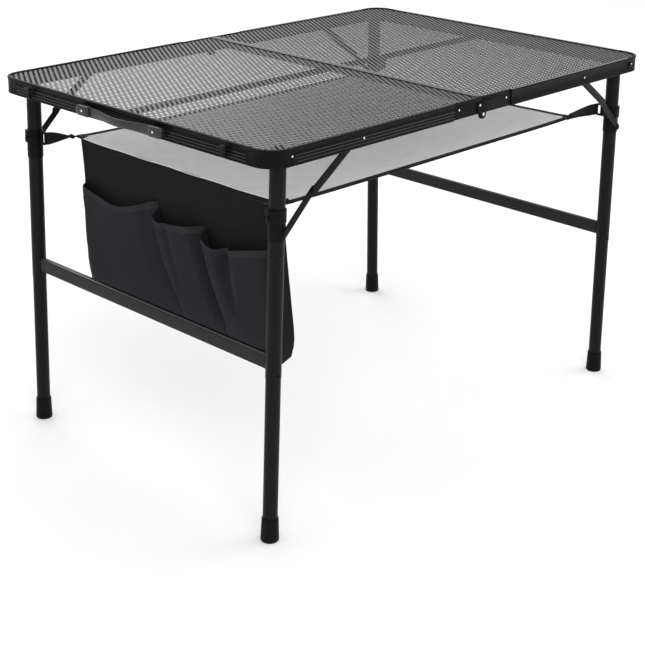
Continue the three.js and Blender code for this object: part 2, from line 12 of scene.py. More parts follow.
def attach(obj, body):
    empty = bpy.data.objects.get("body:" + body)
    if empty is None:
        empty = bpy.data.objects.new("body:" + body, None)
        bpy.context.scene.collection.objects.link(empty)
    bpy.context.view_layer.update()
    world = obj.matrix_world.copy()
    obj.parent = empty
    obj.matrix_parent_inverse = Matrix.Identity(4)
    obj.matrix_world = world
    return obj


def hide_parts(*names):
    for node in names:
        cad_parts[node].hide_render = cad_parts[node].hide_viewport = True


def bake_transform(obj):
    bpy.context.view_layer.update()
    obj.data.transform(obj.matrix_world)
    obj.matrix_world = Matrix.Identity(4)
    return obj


MM = 0.001
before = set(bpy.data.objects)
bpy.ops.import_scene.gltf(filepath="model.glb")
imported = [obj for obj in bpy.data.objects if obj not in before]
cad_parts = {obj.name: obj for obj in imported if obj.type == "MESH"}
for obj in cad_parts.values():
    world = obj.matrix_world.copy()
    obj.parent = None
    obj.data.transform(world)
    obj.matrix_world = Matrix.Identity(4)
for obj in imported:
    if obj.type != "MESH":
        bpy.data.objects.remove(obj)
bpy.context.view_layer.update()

# ---------------------------------------------------------------- sizes, in millimetres
LENGTH, WIDTH, TOP = 870, 600, 580
GAP = 0.3
CORNER_RADIUS, CORNER_REACH = 34, 46
HINGE_REACH = 68
SEAM_GAP = 0.9
LEG_X, LEG_Y, PIVOT_DEPTH, SPLAY = 393, 270, 13.9, 1.5
AXIS_LENGTH = (TOP - PIVOT_DEPTH) / math.cos(math.radians(SPLAY))
SOCKET_END, SOCKET_INSERT = 316, 55
SHELF_X, SHELF_Y, SHELF_Z, SHELF_SAG = 334, 234, 475.5, 5
SHELF_BACK = 342
PIN_DEPTH = 12.6
LUG_DOWN, LUG_IN = 84, 28
CROSSBAR_DOWN = 295
CAMERA_AT = (-1.6181, -1.5207, 1.0740)
CAMERA_TURN = (-136.326, 19.364, 0.8)
CAMERA_LENS, CAMERA_SHIFT = 78.6, -0.14
HALVES = (("a", -1), ("b", 1))
PLACES = (("front", -1), ("back", 1))


# ---------------------------------------------------------------- materials
class Nodes:
    """A material's node tree with short names for what is used here."""

    def __init__(self, name, colour, roughness, metallic=0.0, specular=0.5):
        self.material = bpy.data.materials.new(name)
        self.material.use_nodes = True
        self.material.diffuse_color = (*colour, 1)
        self.tree = self.material.node_tree
        self.shader = self.tree.nodes["Principled BSDF"]
        self.shader.inputs["Base Color"].default_value = (*colour, 1)
        self.shader.inputs["Roughness"].default_value = roughness
        self.shader.inputs["Metallic"].default_value = metallic
        self.shader.inputs["Specular IOR Level"].default_value = specular

    def add(self, kind, **settings):
        node = self.tree.nodes.new(kind)
        for key, value in settings.items():
            if hasattr(node, key):
                setattr(node, key, value)
            else:
                node.inputs[key].default_value = value
        return node

    def join(self, output, socket):
        self.tree.links.new(output, socket)

    def place(self, stretch=(1, 1, 1)):
        where = self.add("ShaderNodeTexCoord")
        mapping = self.add("ShaderNodeMapping")
        mapping.inputs["Scale"].default_value = stretch
        self.join(where.outputs["Object"], mapping.inputs["Vector"])
        return mapping.outputs["Vector"]

    def noise(self, scale, detail=3.0, rough=0.55, stretch=(1, 1, 1)):
        node = self.add("ShaderNodeTexNoise", Scale=scale, Detail=detail, Roughness=rough)
        self.join(self.place(stretch), node.inputs["Vector"])
        return node.outputs["Fac"]

    def wave(self, direction, scale, distortion=0.0):
        node = self.add("ShaderNodeTexWave", wave_type="BANDS", bands_direction=direction, Scale=scale)
        node.inputs["Distortion"].default_value = distortion
        self.join(self.place(), node.inputs["Vector"])
        return node.outputs["Fac"]

    def ramp(self, fac, stops):
        node = self.add("ShaderNodeValToRGB")
        ramp = node.color_ramp
        while len(ramp.elements) < len(stops):
            ramp.elements.new(0.5)
        for element, (at, grey) in zip(ramp.elements, stops):
            element.position = at
            element.color = (grey, grey, grey, 1)
        self.join(fac, node.inputs["Fac"])
        return node.outputs["Color"]

    def spread(self, fac, low, high):
        node = self.add("ShaderNodeMapRange")
        node.inputs["To Min"].default_value = low
        node.inputs["To Max"].default_value = high
        self.join(fac, node.inputs["Value"])
        return node.outputs["Result"]

    def mix(self, fac, a, b):
        node = self.add("ShaderNodeMix", data_type="RGBA", blend_type="MIX")
        sockets = [s for s in node.inputs if s.type == "RGBA"]
        for value, socket in ((a, sockets[0]), (b, sockets[1])):
            if isinstance(value, tuple):
                socket.default_value = (*value, 1)
            else:
                self.join(value, socket)
        if isinstance(fac, float):
            node.inputs["Factor"].default_value = fac
        else:
            self.join(fac, node.inputs["Factor"])
        return [s for s in node.outputs if s.type == "RGBA"][0]

    def math(self, operation, a, b):
        node = self.add("ShaderNodeMath", operation=operation)
        for value, socket in ((a, node.inputs[0]), (b, node.inputs[1])):
            if isinstance(value, (int, float)):
                socket.default_value = value
            else:
                self.join(value, socket)
        return node.outputs["Value"]

    def bump(self, height, distance, strength=1.0, below=None):
        node = self.add("ShaderNodeBump", Strength=strength, Distance=distance)
        self.join(height, node.inputs["Height"])
        if below is not None:
            self.join(below, node.inputs["Normal"])
        return node.outputs["Normal"]

    def finish(self, colour=None, roughness=None, normal=None):
        for value, name in ((colour, "Base Color"), (roughness, "Roughness"), (normal, "Normal")):
            if value is not None:
                self.join(value, self.shader.inputs[name])
        return self.material


def coated_metal(name, dark, light, smooth, rough, specular, stretch=(1, 1, 1)):
    """Powder-coated metal: fine orange peel, patches of duller coating and faint rub marks."""
    m = Nodes(name, dark, (smooth + rough) / 2, specular=specular)
    patches = m.noise(14, 4, 0.6, stretch)
    rubs = m.noise(160, 2, 0.5, (1, 1, 0.06))
    colour = m.mix(m.spread(patches, 0.0, 1.0), dark, light)
    marks = m.ramp(rubs, [(0.62, 0), (0.78, 1)])
    colour = m.mix(m.spread(marks, 0.0, 0.35), colour, tuple(2.2 * c for c in light))
    roughness = m.spread(m.noise(60, 3, 0.6, stretch), smooth, rough)
    peel = m.bump(m.noise(1500, 2, 0.5), 0.00012, 0.35)
    return m.finish(colour, roughness, peel)


def moulded_plastic(name, dark, light, smooth, rough, specular=0.35):
    m = Nodes(name, dark, (smooth + rough) / 2, specular=specular)
    colour = m.mix(m.noise(40, 3), dark, light)
    grain = m.add("ShaderNodeTexVoronoi", Scale=1400)
    m.join(m.place(), grain.inputs["Vector"])
    roughness = m.spread(m.noise(90, 3), smooth, rough)
    return m.finish(colour, roughness, m.bump(grain.outputs["Distance"], 0.00008, 0.4))


def woven_cloth(name, dark, light, threads, rough=0.9, fibre=0.5, sheen=0.2):
    """Plain weave: two crossed sets of threads with fibre fuzz and slight tone changes."""
    m = Nodes(name, dark, rough, specular=0.2)
    m.shader.inputs["Sheen Weight"].default_value = sheen
    m.shader.inputs["Sheen Roughness"].default_value = 0.5
    warp = m.math("MAXIMUM", m.wave("X", threads), m.wave("Z", threads))
    weft = m.wave("Y", threads)
    weave = m.math("MULTIPLY", warp, weft)
    tone = m.mix(m.spread(m.noise(9, 4, 0.6), 0.15, 0.85), dark, light)
    fuzz = m.noise(700, 3, 0.6)
    colour = m.mix(m.spread(weave, 0.0, 0.35), tone, tuple(0.62 * c for c in dark))
    colour = m.mix(m.spread(fuzz, 0.0, fibre), colour, light)
    roughness = m.spread(fuzz, rough - 0.08, min(rough + 0.06, 1.0))
    threads_up = m.bump(weave, 0.0003, 0.5)
    return m.finish(colour, roughness, m.bump(fuzz, 0.0002, 0.3, threads_up))


def webbing(name, dark, light, ribs):
    m = Nodes(name, dark, 0.75, specular=0.25)
    ridge = m.wave("DIAGONAL", ribs, 0.4)
    colour = m.mix(m.spread(ridge, 0.1, 0.9), dark, light)
    roughness = m.spread(m.noise(400, 2), 0.62, 0.85)
    return m.finish(colour, roughness, m.bump(ridge, 0.00035, 0.7))


def bright_metal(name, colour, rough):
    m = Nodes(name, colour, rough, metallic=1.0)
    scratches = m.noise(2500, 2, 0.5, (1, 0.1, 1))
    tone = m.mix(m.spread(scratches, 0.0, 0.5), colour, tuple(0.72 * c for c in colour))
    return m.finish(tone, m.spread(scratches, rough - 0.06, rough + 0.1))


FRAME = coated_metal("frame_paint", (0.0016, 0.0017, 0.0021), (0.0028, 0.003, 0.0035), 0.34, 0.46, 0.07)
MESH = coated_metal("mesh_paint", (0.003, 0.0031, 0.0036), (0.0048, 0.005, 0.0058), 0.3, 0.42, 0.52)
# Lighter, glossier copy of the frame's coat on the crests of half a's rail ribs: a painted highlight.
RIB_HIGHLIGHT = coated_metal("painted_rib_highlight", (0.01, 0.0104, 0.012), (0.015, 0.0155, 0.017), 0.26, 0.36, 0.5)
# Much lighter copy of the frame's coat for half b's top lip, the seam rails and the crossbars' top edges: a
# painted highlight.
EDGE_HIGHLIGHT = coated_metal("painted_edge_highlight", (0.035, 0.0355, 0.037), (0.06, 0.061, 0.064), 0.24, 0.34, 0.6)
TUBE = coated_metal("tube_paint", (0.0032, 0.0034, 0.0042), (0.0048, 0.0051, 0.006), 0.36, 0.5, 0.12,
                    (1, 1, 0.25))
BAR = coated_metal("crossbar_paint", (0.0055, 0.0058, 0.007), (0.0082, 0.0086, 0.01), 0.34, 0.46, 0.2)
STEEL = coated_metal("brace_paint", (0.0028, 0.003, 0.0036), (0.0048, 0.0051, 0.006), 0.32, 0.48, 0.1)
PLASTIC = moulded_plastic("black_plastic", (0.0018, 0.0019, 0.0023), (0.003, 0.0032, 0.0038), 0.42, 0.6,
                          0.09)
HANDLE = moulded_plastic("handle_plastic", (0.008, 0.0084, 0.0095), (0.015, 0.0155, 0.017), 0.2, 0.34, 0.42)
SHELF = woven_cloth("shelf_cloth", (0.9, 0.905, 0.915), (0.95, 0.955, 0.965), 320, 0.9, 0.35, 0.1)
# The organiser's cloth comes in two copies: a lighter one for the pocket fronts, painted light on their
# bulge, and a darker one for the back panel, painted shade inside the pockets' openings.
BAG = woven_cloth("organiser_cloth", (0.0062, 0.0067, 0.0084), (0.0115, 0.0122, 0.0148), 300, 0.88, 0.4,
                  0.03)
BAG_SHADED = woven_cloth("organiser_back_painted_shade", (0.003, 0.0032, 0.004), (0.0052, 0.0056, 0.0066), 300, 0.9,
                       0.4, 0.02)
HEM = webbing("hem_tape", (0.0085, 0.009, 0.011), (0.017, 0.018, 0.0205), 420)
BINDING = webbing("binding_tape", (0.0036, 0.004, 0.0048), (0.0085, 0.009, 0.0105), 420)
THREAD = woven_cloth("thread", (0.012, 0.0125, 0.0145), (0.026, 0.027, 0.03), 900, 0.7, 0.4, 0.05)
CHROME = bright_metal("screw_metal", (0.85, 0.86, 0.87), 0.18)


# ---------------------------------------------------------------- mesh helpers
def make(name, vertices, faces, material, body=None, smooth=40, slot=None):
    """A new mesh object from points in millimetres, with its faces turned out."""
    data = bpy.data.meshes.new(name)
    data.from_pydata([tuple(c * MM for c in v) for v in vertices], [], faces)
    bm = bmesh.new()
    bm.from_mesh(data)
    bmesh.ops.remove_doubles(bm, verts=bm.verts, dist=1e-6)
    bmesh.ops.recalc_face_normals(bm, faces=bm.faces)
    bm.to_mesh(data)
    bm.free()
    obj = bpy.data.objects.new(name, data)
    bpy.context.scene.collection.objects.link(obj)
    return dress(obj, material, body, smooth, slot)


def dress(obj, material, body=None, smooth=40, slot=None):
    """Gives a mesh its material, shading and the body it rides on; slot is not used."""
    obj.data.materials.clear()
    obj.data.materials.append(material)
    if smooth:
        smooth_by_angle(obj, smooth)
    if body:
        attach(obj, body)
    return obj


def smooth_by_angle(obj, degrees):
    """Smooth faces, with edges sharper than the angle kept sharp."""
    bm = bmesh.new()
    bm.from_mesh(obj.data)
    limit = math.radians(degrees)
    for face in bm.faces:
        face.smooth = True
    for edge in bm.edges:
        edge.smooth = len(edge.link_faces) == 2 and edge.calc_face_angle(0.0) < limit
    bm.to_mesh(obj.data)
    bm.free()


def grid_faces(rows, columns, wrap=False, offset=0):
    """Faces of a grid of points, row after row; wrap joins each row's last point to its first."""
    faces = []
    last = columns if wrap else columns - 1
    for i in range(rows - 1):
        for j in range(last):
            k = (j + 1) % columns
            a, b = offset + i * columns + j, offset + i * columns + k
            faces.append((a, b, b + columns, a + columns))
    return faces


def closed_tube_faces(rows, ring):
    """Faces of a tube of rows rings, with its two ends closed."""
    faces = grid_faces(rows, ring, wrap=True)
    return faces + [tuple(range(ring)), tuple(range((rows - 1) * ring, rows * ring))]


def sheet_faces(rows, columns):
    """Faces of a thin sheet: one side's grid of points, then the other's, joined round the edge."""
    n = rows * columns
    faces = grid_faces(rows, columns) + [f[::-1] for f in grid_faces(rows, columns, offset=n)]
    edge = list(range(columns)) + [i * columns + columns - 1 for i in range(1, rows)]
    edge += [(rows - 1) * columns + j for j in range(columns - 2, -1, -1)]
    edge += [i * columns for i in range(rows - 2, 0, -1)]
    return faces + [(a, b, b + n, a + n) for a, b in zip(edge, edge[1:] + edge[:1])]


BOX_FACES = [(0, 1, 2, 3), (4, 5, 6, 7), (0, 1, 5, 4), (1, 2, 6, 5), (2, 3, 7, 6), (3, 0, 4, 7)]


def lathe(profile, segments=48):
    """Points and faces of a closed profile of (radius, z) turned about Z."""
    vertices, faces = [], []
    for r, z in profile:
        for j in range(segments):
            angle = 2 * math.pi * j / segments
            vertices.append((r * math.cos(angle), r * math.sin(angle), z))
    n = len(profile)
    for i in range(n):
        nxt = (i + 1) % n
        if profile[i][0] == 0 and profile[nxt][0] == 0:
            continue
        for j in range(segments):
            k = (j + 1) % segments
            faces.append((i * segments + j, i * segments + k, nxt * segments + k, nxt * segments + j))
    return vertices, faces


def merge(parts):
    vertices, faces = [], []
    for points, polygons in parts:
        start = len(vertices)
        vertices += points
        faces += [tuple(start + i for i in polygon) for polygon in polygons]
    return vertices, faces


def moved(part, matrix):
    points, faces = part
    return [tuple(matrix @ Vector(p)) for p in points], faces


def clean(part):
    """Drops points that repeat within a face, as a lathe's poles have."""
    points, faces = part
    kept = []
    for face in faces:
        out = []
        for i in face:
            if not any((Vector(points[i]) - Vector(points[j])).length < 1e-6 for j in out):
                out.append(i)
        if len(out) > 2:
            kept.append(tuple(out))
    return points, kept


def sweep(section, path):
    """A closed section of (depth, inward) points swept along a level path of (x, y), mitred."""
    vertices = []
    for i, here in enumerate(path):
        before, after = path[max(i - 1, 0)], path[min(i + 1, len(path) - 1)]
        into = (Vector(here) - Vector(before)).normalized() if i else None
        out = (Vector(after) - Vector(here)).normalized() if i + 1 < len(path) else None
        into, out = into or out, out or into
        left = Vector((-(into.y + out.y), into.x + out.x)).normalized()
        stretch = 1 / max(0.5, left.dot(Vector((-out.y, out.x))))
        for depth, inward in section:
            reach = inward * stretch
            vertices.append((here[0] + left.x * reach, here[1] + left.y * reach, TOP - depth))
    return vertices, closed_tube_faces(len(path), len(section))


def refined(node, material, body, bevel=0.35, segments=2, smooth=35, slot=None):
    """A softened copy of a CAD node: triangles merged to flats and its edges rounded."""
    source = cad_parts[node]
    obj = bpy.data.objects.new(node + "_skin", source.data.copy())
    bpy.context.scene.collection.objects.link(obj)
    bm = bmesh.new()
    bm.from_mesh(obj.data)
    bmesh.ops.remove_doubles(bm, verts=bm.verts, dist=2e-6)
    bmesh.ops.dissolve_limit(bm, angle_limit=math.radians(1.5), verts=bm.verts, edges=bm.edges)
    sharp = [e for e in bm.edges if len(e.link_faces) == 2 and e.calc_face_angle(0.0) > math.radians(32)]
    bmesh.ops.bevel(bm, geom=sharp, offset=bevel * MM, offset_type="OFFSET", segments=segments,
                    profile=0.6, affect="EDGES", clamp_overlap=True)
    bm.to_mesh(obj.data)
    bm.free()
    dress(obj, material, body, smooth, slot)
    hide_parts(node)


def leg_matrix(side, y=0.0):
    """From a leg's own upright frame, with its pivot at the origin, to the table's, in mm."""
    turn = Matrix.Rotation(-side * math.radians(SPLAY), 4, "Y")
    return Matrix.Translation((side * LEG_X, y, TOP - PIVOT_DEPTH)) @ turn


def dome(radius, height, x, y, z, towards, segments=20):
    """A domed head standing on the point (x, y, z), facing along towards."""
    steps = 5
    profile = [(0, 0), (radius, 0)]
    for i in range(1, steps + 1):
        angle = i / steps * math.pi / 2
        profile.append((radius * math.cos(angle), height * (0.35 + 0.65 * math.sin(angle))))
    part = clean(lathe(profile[:-1] + [(0, height)], segments))
    turn = Vector((0, 0, 1)).rotation_difference(Vector(towards)).to_matrix().to_4x4()
    return moved(part, Matrix.Translation((x, y, z)) @ turn)


def screw(name, x, y, z, towards, body, radius=1.7, ring=3.2):
    """A bright screw head on a dark washer."""
    make(name + "_washer", *dome(ring, 0.7, x, y, z, towards), PLASTIC, body, slot="black_plastic")
    n = Vector(towards) * 0.5
    make(name + "_head", *dome(radius, 1.1, x + n.x, y + n.y, z + n.z, towards), CHROME, body,
         slot="black_steel")


# ---------------------------------------------------------------- rails and corners
RECESS = 1.0
RIB_FIRST, RIB_PITCH, RIB_COUNT = 11.0, 4.4, 3
PLUG_LENGTH = 6
PLUG_SECTION = [(4.3, 2.2), (23.5, 2.2), (23.5, 7.6), (4.3, 7.6)]
SEAM_SECTION = [
    (0.4, 5.0), (0.1, 4.8), (0, 4.4), (0, 1.0), (0.15, 0.45), (0.5, 0.12), (1.1, 0), (12.4, 0),
    (13, 0.5), (13, 4), (11.8, 4), (11.8, 1.4), (4.2, 1.4), (4.2, 8), (3, 8), (3, 1.4),
    (1.3, 1.4), (1.3, 5.0),
]


def rail_section(ribbed, recess=RECESS):
    """[depth, inward] round the rail: rounded top rim, recessed face, foot bead, inner channel."""
    ribs = []
    if ribbed:
        for i in range(RIB_COUNT):
            c = RIB_FIRST + i * RIB_PITCH
            ribs += [(c - 1.5, recess), (c - 1.0, recess - 0.55), (c - 0.4, recess - 0.85),
                     (c + 0.4, recess - 0.85), (c + 1.0, recess - 0.55), (c + 1.5, recess)]
    return [
        (0.5, 5.2), (0.1, 4.9), (0, 4.4), (0, 1.3), (0.12, 0.75), (0.45, 0.3), (1.0, 0.05), (1.7, 0),
        (2.6, 0.12), (3.2, 0.45), (3.7, recess), *ribs, (22.3, recess), (22.7, 0.6), (23.3, 0.35),
        (24.1, 0.35), (24.7, 0.65), (25, 1.3), (25, 7.7), (24.7, 8), (23.7, 8), (23.6, 7.7), (23.6, 2.1),
        (4.2, 2.1), (4.2, 8.8), (4.0, 9), (3.2, 9), (3.0, 8.8), (3.0, 2.1), (1.3, 2.1), (1.3, 5.2),
    ]


def corner_path(side, edge):
    """The top's outline round one corner, with a straight piece at either end."""
    x, y, r = side * LENGTH / 2, edge * WIDTH / 2, CORNER_RADIUS
    steps = 18
    arc = [(x - side * r * (1 - math.sin(i / steps * math.pi / 2)),
            y - edge * r * (1 - math.cos(i / steps * math.pi / 2))) for i in range(steps + 1)]
    points = [(x - side * CORNER_REACH, y), *arc, (x, y - edge * CORNER_REACH)]
    return points[::-1] if side * edge > 0 else points


def straight(a, b, flip):
    return [b, a] if flip else [a, b]


def shine(obj, material, chosen):
    """Gives the faces whose middle chosen() picks, as x, y, z in mm, another, lighter material as a painted
    highlight.
    """
    obj.data.materials.append(material)
    for face in obj.data.polygons:
        if len(face.vertices) == 4 and chosen(*(face.center / MM)):
            face.material_index = 1


def on_rib(x, y, z):
    return any(abs(TOP - z - RIB_FIRST - i * RIB_PITCH) < 0.6 for i in range(RIB_COUNT))


def on_lip(x, y, z):
    return z > TOP - 0.7 and max(abs(x) - LENGTH / 2, abs(y) - WIDTH / 2) < -1.0


def build_rails():
    for half, side in HALVES:
        body = "half_" + half
        section = rail_section(side < 0)
        plain = rail_section(False, 0.8)
        # Half a's rib crests and half b's top lip get a lighter material: a painted highlight.
        highlight_paint, highlight_faces = (RIB_HIGHLIGHT, on_rib) if side < 0 else (EDGE_HIGHLIGHT, on_lip)
        for place, edge in PLACES:
            y = edge * WIDTH / 2
            ends = sorted((side * (LENGTH / 2 - CORNER_REACH - GAP), side * (HINGE_REACH + GAP)))
            path = straight((ends[0], y), (ends[1], y), edge > 0)
            near = side * (HINGE_REACH + GAP)
            inner, outer = sorted((near, near + side * PLUG_LENGTH))
            plug = sweep(PLUG_SECTION, straight((inner, y), (outer, y), edge > 0))
            make(f"rail_end_plug_{half}_{place}", *plug, PLASTIC, body, 0, "black_plastic")
            node = f"side_rail_{half}_{place}"
            rail = make(node + "_skin", *sweep(section, path), FRAME, body, 50, "frame_paint")
            shine(rail, highlight_paint, highlight_faces)
            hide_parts(node)
            node = f"corner_{half}_{place}"
            corner = make(node + "_skin", *sweep(plain, corner_path(side, edge)), PLASTIC, body, 50,
                          "black_plastic")
            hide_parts(node)
        x = side * LENGTH / 2
        y = WIDTH / 2 - CORNER_REACH - GAP
        node = f"end_rail_{half}"
        path = straight((x, -y), (x, y), side < 0)
        rail = make(node + "_skin", *sweep(section, path), FRAME, body, 50, "frame_paint")
        shine(rail, highlight_paint, highlight_faces)
        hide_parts(node)
        y = WIDTH / 2 - 9 - GAP
        x = side * SEAM_GAP
        node = f"seam_rail_{half}"
        path = straight((x, -y), (x, y), side > 0)
        # The whole seam rail takes the lighter material, a painted highlight for the bright line along the
        # seam.
        rail = make(node + "_skin", *sweep(SEAM_SECTION, path), EDGE_HIGHLIGHT, body, 50, "frame_paint")
        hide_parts(node)
        refined(f"centre_bar_{half}", FRAME, body, 0.5, slot="frame_paint")


# ---------------------------------------------------------------- expanded-metal panels
CELL_X, CELL_Y = 9.0, 15.0
OPEN_STEEP, OPEN_FLAT = 0.48, 0.86
MESH_TOP, MESH_THICK, MESH_LEAN = 1.5, 0.9, 0.1
PANEL_INSET = 2.4


def panel_limit(x, y):
    """The point moved inside one half's panel outline, which is rounded at the outer corners."""
    outer, half = LENGTH / 2 - PANEL_INSET, WIDTH / 2 - PANEL_INSET
    r = CORNER_RADIUS - PANEL_INSET
    x = min(max(x, SEAM_GAP + 1.6), outer)
    y = min(max(y, -half), half)
    if x < HINGE_REACH + GAP:
        y = min(max(y, 4.7 - WIDTH / 2), WIDTH / 2 - 4.7)
    cx, cy = outer - r, half - r
    if x > cx and abs(y) > cy:
        dx, dy = x - cx, abs(y) - cy
        far = math.hypot(dx, dy)
        if far > r:
            x, y = cx + dx / far * r, math.copysign(cy + dy / far * r, y)
    return x, y


def expanded_panel(half, side):
    """An expanded-metal sheet: staggered diamond openings whose strands lean slightly one way.
    Half a's panel is half b's turned round."""
    top = TOP - MESH_TOP
    vertices, faces = [], []
    columns = int(LENGTH / CELL_X) + 4
    rows = int(WIDTH / CELL_Y) + 4
    steep = Vector((CELL_X / 4, CELL_Y / 4))
    flat = Vector((CELL_X / 4, -CELL_Y / 4))
    signs = ((1, 1), (1, -1), (-1, -1), (-1, 1))
    cell = [steep * a + flat * b for a, b in signs]
    hole = [steep * a * OPEN_FLAT + flat * b * OPEN_STEEP for a, b in signs]
    for i in range(0, columns + 1):
        for j in range(-rows, rows + 1):
            if (i + j) % 2:
                continue
            cx, cy = i * CELL_X / 2 + 4, j * CELL_Y / 2
            lx, ly = panel_limit(cx, cy)
            if math.hypot(lx - cx, ly - cy) > 2.5:
                continue
            start = len(vertices)
            for lean, z in ((0, top), (MESH_LEAN, top - MESH_THICK)):
                for ring in (cell, hole):
                    vertices += [(*panel_limit(cx + p.x - lean, cy + p.y), z) for p in ring]
            for k in range(4):
                n = (k + 1) % 4
                faces.append((start + k, start + n, start + 4 + n, start + 4 + k))
                faces.append((start + 12 + k, start + 12 + n, start + 8 + n, start + 8 + k))
                faces.append((start + 4 + k, start + 4 + n, start + 12 + n, start + 12 + k))
    points = np.array(vertices)
    if side < 0:
        points[:, :2] *= -1
    data = bpy.data.meshes.new(f"expanded_mesh_{half}")
    data.from_pydata((points * MM).tolist(), [], faces)
    bm = bmesh.new()
    bm.from_mesh(data)
    bmesh.ops.remove_doubles(bm, verts=bm.verts, dist=3e-5)
    bmesh.ops.dissolve_degenerate(bm, dist=2e-5, edges=bm.edges)
    bmesh.ops.recalc_face_normals(bm, faces=bm.faces)
    bm.to_mesh(data)
    bm.free()
    obj = bpy.data.objects.new(f"expanded_mesh_{half}", data)
    bpy.context.scene.collection.objects.link(obj)
    dress(obj, MESH, "half_" + half, 0, "mesh_paint")
    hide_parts(f"mesh_panel_{half}")


# ---------------------------------------------------------------- leg frames
def build_legs():
    r, bore, low_r = 11.2, 10.9, 10.7
    for half, side in HALVES:
        frame_body = "leg_frame_" + half
        for place, edge in PLACES:
            m = leg_matrix(side, edge * LEG_Y)
            head = [(r * math.cos(math.radians(i * 11.25)), bore * math.sin(math.radians(i * 11.25)))
                    for i in range(8)]
            upper = [(bore, -SOCKET_END), (r - 0.1, -SOCKET_END), (r, -SOCKET_END + 0.3), *head,
                     (0, bore), (0, -4), (bore, -4)]
            node = f"upper_leg_{half}_{place}"
            leg = make(node + "_skin", *moved(clean(lathe(upper)), m), TUBE, frame_body, 40, "tube_paint")
            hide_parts(node)
            low = f"lower_leg_{half}_{place}"
            bottom = -AXIS_LENGTH + 5.3
            insert = SOCKET_INSERT - SOCKET_END
            lower = [(0, bottom), (low_r, bottom), (low_r, insert), (9.7, insert), (9.7, bottom + 4),
                     (0, bottom + 4)]
            leg = make(low + "_skin", *moved(clean(lathe(lower)), m), TUBE, low, 40, "tube_paint")
            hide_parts(low)
            button = moved(dome(2.4, 1.6, 0, edge * bore, -SOCKET_END + 5, (0, edge, 0)), m)
            make(f"socket_button_{half}_{place}", *button, STEEL, frame_body, slot="black_steel")
            cap = [(0, 0), (11.6, 0), (12.6, 0.5), (13.2, 1.8), (13.3, 5.2), (12.9, 5.7), (12.9, 6.4),
                   (13.2, 6.9), (13.0, 12), (12.4, 30), (12.1, 35.2), (11.7, 36), (10.8, 36), (10.8, 5),
                   (0, 5)]
            cap_points, cap_faces = clean(lathe(cap))
            to_foot = Matrix.Translation((0, 0, -AXIS_LENGTH))
            # The sole lies flat on the floor, although the leg leans.
            level = []
            for point in cap_points:
                p = m @ to_foot @ Vector(point)
                if point[2] < 2:
                    p.z = max(p.z, 0.0) if point[2] > 0 else 0.0
                level.append(tuple(p))
            foot = make(f"foot_{half}_{place}_skin", level, cap_faces, PLASTIC, low, 40, "black_plastic")
            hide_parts(f"foot_{half}_{place}")
            build_collar(half, side, place, edge, m)
            pivot_head = dome(4.6, 2.2, side * LEG_X, edge * (WIDTH / 2 - RECESS), TOP - PIN_DEPTH,
                              (0, edge, 0))
            make(f"leg_pivot_head_{half}_{place}", *pivot_head, PLASTIC, "half_" + half,
                 slot="black_plastic")
            refined(f"leg_pivot_{half}_{place}", PLASTIC, "half_" + half, 0.4, slot="black_plastic")
        build_crossbar(half, side)


def build_collar(half, side, place, edge, m):
    """The clamp ring and sleeve round the leg, with the slotted lug that the shelf's strap uses."""
    ring = [(11.3, -74), (12.3, -74), (12.9, -74.4), (13, -75), (13, -80.5), (12.5, -81), (12.5, -81.8),
            (13, -82.3), (13, -92), (12.7, -92.7), (12.3, -93), (12.1, -93.5), (12.2, -94), (12.2, -116.5),
            (11.9, -118), (11.3, -118)]
    points, faces = lathe(ring)
    # The clamp stands out further on the side away from the middle of the table.
    clamp_radius, clamp_widening = 12.45, 1.24
    wider = []
    for x, y, z in points:
        outward = math.hypot(x, y) > clamp_radius and x * side > 0
        wider.append((x * clamp_widening if outward else x, y, z))
    parts = [(wider, faces)]
    reach, root, high, thick = 30, 11.8, 10.6, 1.6
    slot_in, slot_out, slot_high = 20.5, 26.5, 7.4
    rim = [(root, -high), (reach - 4, -high), (reach - 1.2, -high + 1.2), (reach, -high + 4),
           (reach, high - 4), (reach - 1.2, high - 1.2), (reach - 4, high), (root, high)]
    # The slot's corners are repeated so that it has as many points as the lug's rim.
    hole = [(slot_in, -slot_high), (slot_out, -slot_high), (slot_out, -slot_high), (slot_out, -slot_high),
            (slot_out, slot_high), (slot_out, slot_high), (slot_out, slot_high), (slot_in, slot_high)]
    points, faces = [], []
    for t in (-thick, thick):
        points += [(t, -edge * u, w - LUG_DOWN) for u, w in rim]
        points += [(t, -edge * u, w - LUG_DOWN) for u, w in hole]
    n = len(rim)
    for i in range(n):
        k = (i + 1) % n
        faces.append((i, k, n + k, n + i))
        faces.append((2 * n + i, 2 * n + k, 3 * n + k, 3 * n + i))
        faces.append((i, k, 2 * n + k, 2 * n + i))
        faces.append((n + i, n + k, 3 * n + k, 3 * n + i))
    parts.append(clean((points, faces)))
    parts.append(dome(3.2, 2.2, side * 15.6, 0, -86, (side, 0, 0)))
    node = f"collar_{half}_{place}"
    obj = make(node + "_skin", *moved(merge(parts), m), PLASTIC, "leg_frame_" + half, 40,
               "black_plastic")
    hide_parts(node)


